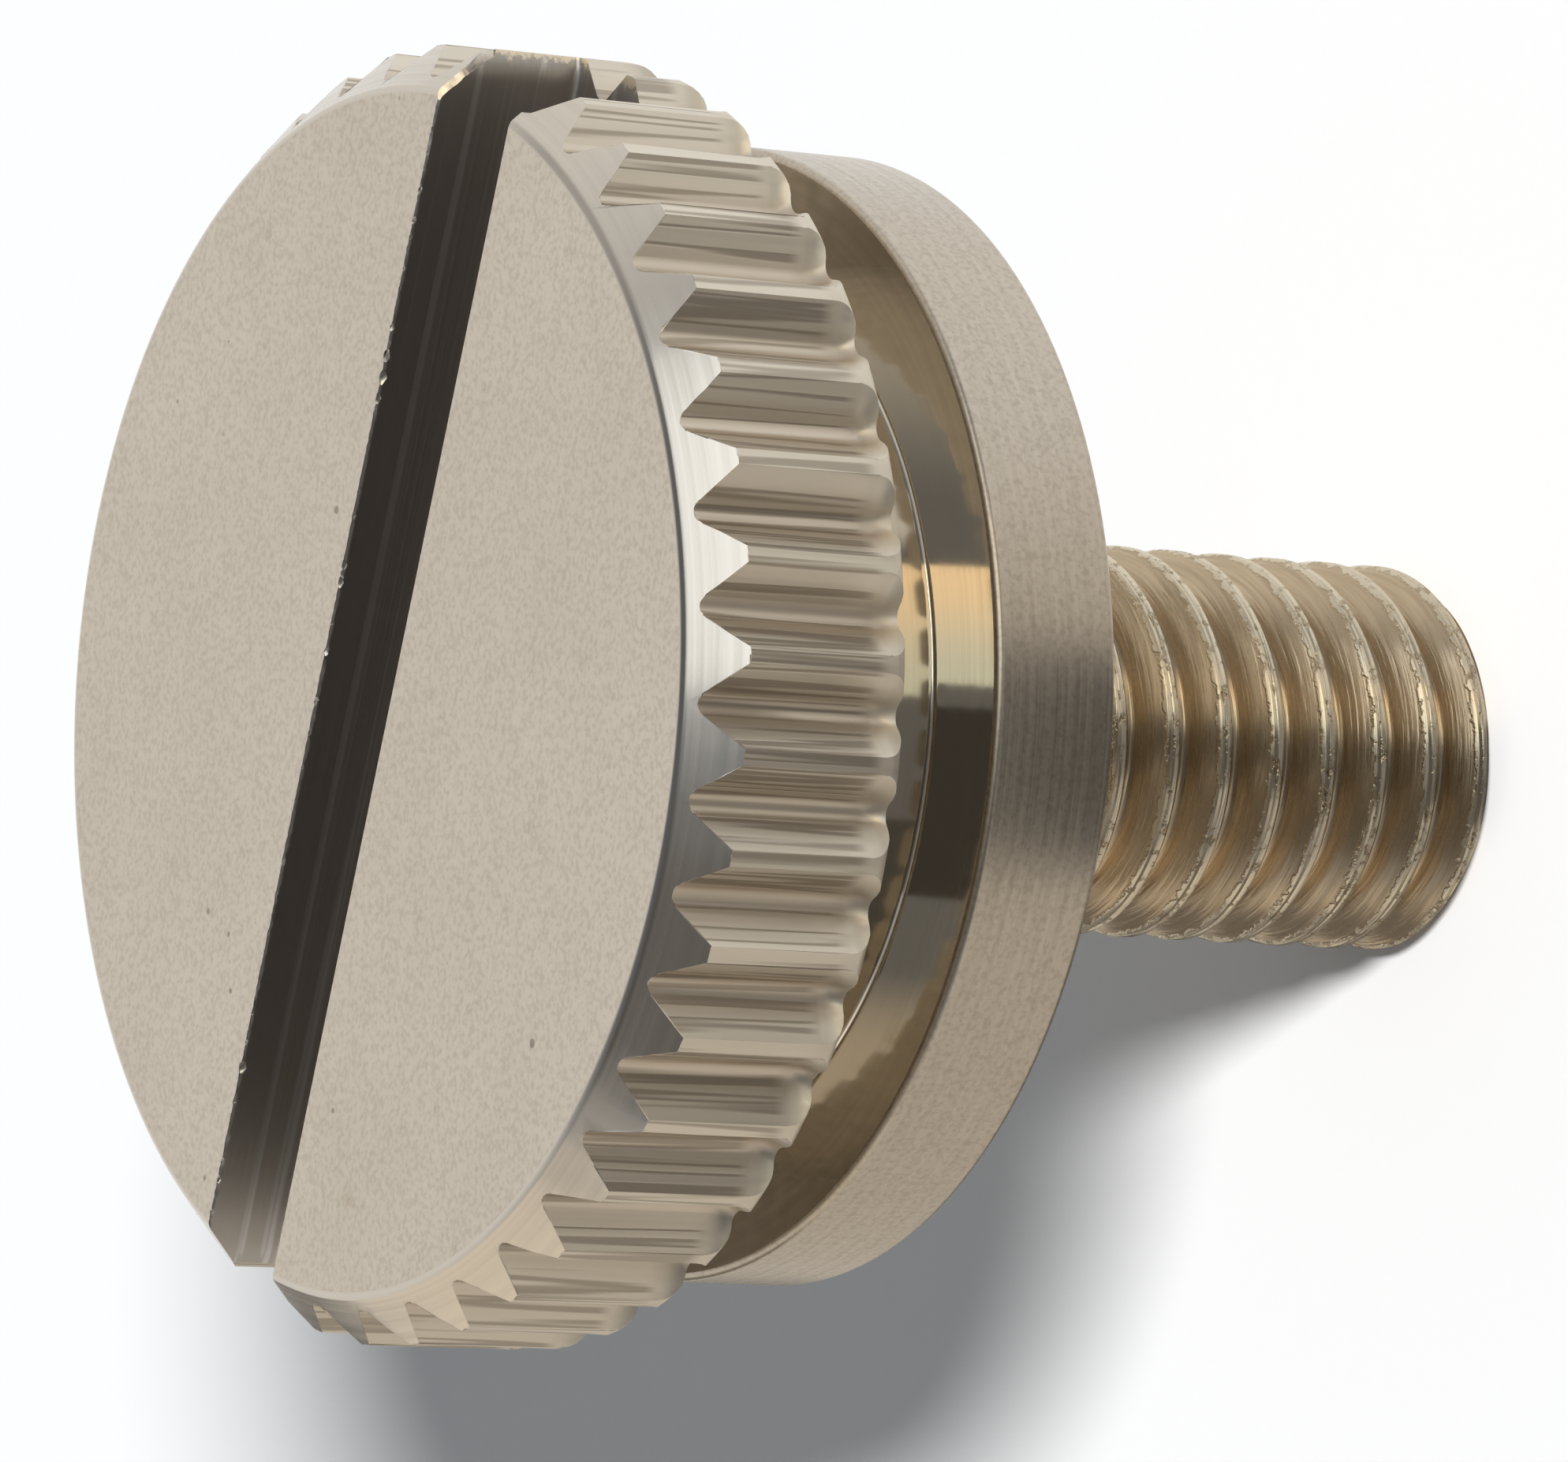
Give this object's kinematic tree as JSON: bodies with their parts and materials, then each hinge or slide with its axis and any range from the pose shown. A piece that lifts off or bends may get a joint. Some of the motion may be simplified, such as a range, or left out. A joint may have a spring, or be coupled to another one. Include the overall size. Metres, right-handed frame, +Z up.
{
  "type": "knurled thumb screw",
  "caption": "Knurled thumb screw with a driver slot across its chamfered head, a short neck, a collar and a threaded shank.",
  "frame": {"origin": "middle of the tip's end face, on the surface the screw stands on", "axes": "+Z up along the screw's axis towards the slotted face, +X along the driver slot"},
  "size_m": [0.016, 0.016, 0.0155],
  "materials": {
    "nickel_plated_brass": "satin nickel plate over brass, tarnished on the thread"
  },
  "bodies": {
    "root": {"thumb_screw": "nickel_plated_brass"}
  },
  "joints": []
}
